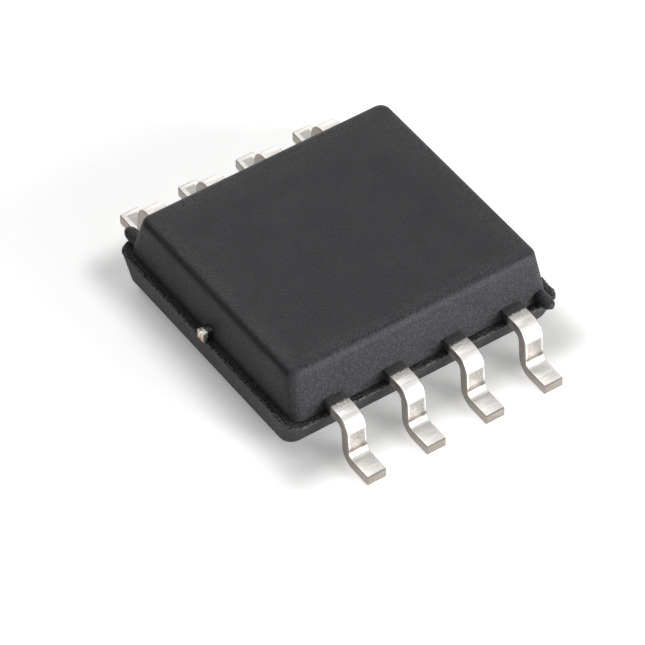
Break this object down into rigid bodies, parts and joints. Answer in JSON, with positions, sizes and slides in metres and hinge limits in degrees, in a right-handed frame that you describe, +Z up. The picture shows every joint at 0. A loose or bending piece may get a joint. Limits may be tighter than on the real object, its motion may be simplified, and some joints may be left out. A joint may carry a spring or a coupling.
{
  "type": "voltage regulator chip",
  "caption": "Dark moulded small-outline voltage regulator chip with two rows of bent, tin-plated leads and bare tie-bar ends.",
  "frame": {"origin": "centre of the package on the seating plane that the eight soles touch", "axes": "+X along the rows of leads, +Y across the package from the first row of leads to the second, +Z up out of the circuit board"},
  "size_m": [0.006, 0.0078, 0.0017],
  "materials": {
    "moulding_compound": "matte black silica-filled epoxy, fine grained, rougher on the ledge",
    "tinned_copper": "matte tin plating over copper alloy, bright at the bends, bare where the strip was punched",
    "paddle_copper": "bare rolled copper alloy",
    "silver_adhesive": "cured silver-filled die adhesive, matte",
    "silicon": "polished silicon with a thin oxide on its top",
    "wire_gold": "bright drawn gold wire"
  },
  "bodies": {
    "root": {"body": "moulding_compound", "lead_1": "tinned_copper", "lead_2": "tinned_copper", "lead_3": "tinned_copper", "lead_4": "tinned_copper", "lead_5": "tinned_copper", "lead_6": "tinned_copper", "lead_7": "tinned_copper", "lead_8": "tinned_copper", "die_paddle": "paddle_copper", "die_adhesive": "silver_adhesive", "die": "silicon", "bond_wire_1": "wire_gold", "bond_wire_2": "wire_gold", "bond_wire_3": "wire_gold", "bond_wire_4": "wire_gold", "bond_wire_5": "wire_gold", "bond_wire_6": "wire_gold", "bond_wire_7": "wire_gold", "bond_wire_8": "wire_gold"}
  },
  "joints": []
}
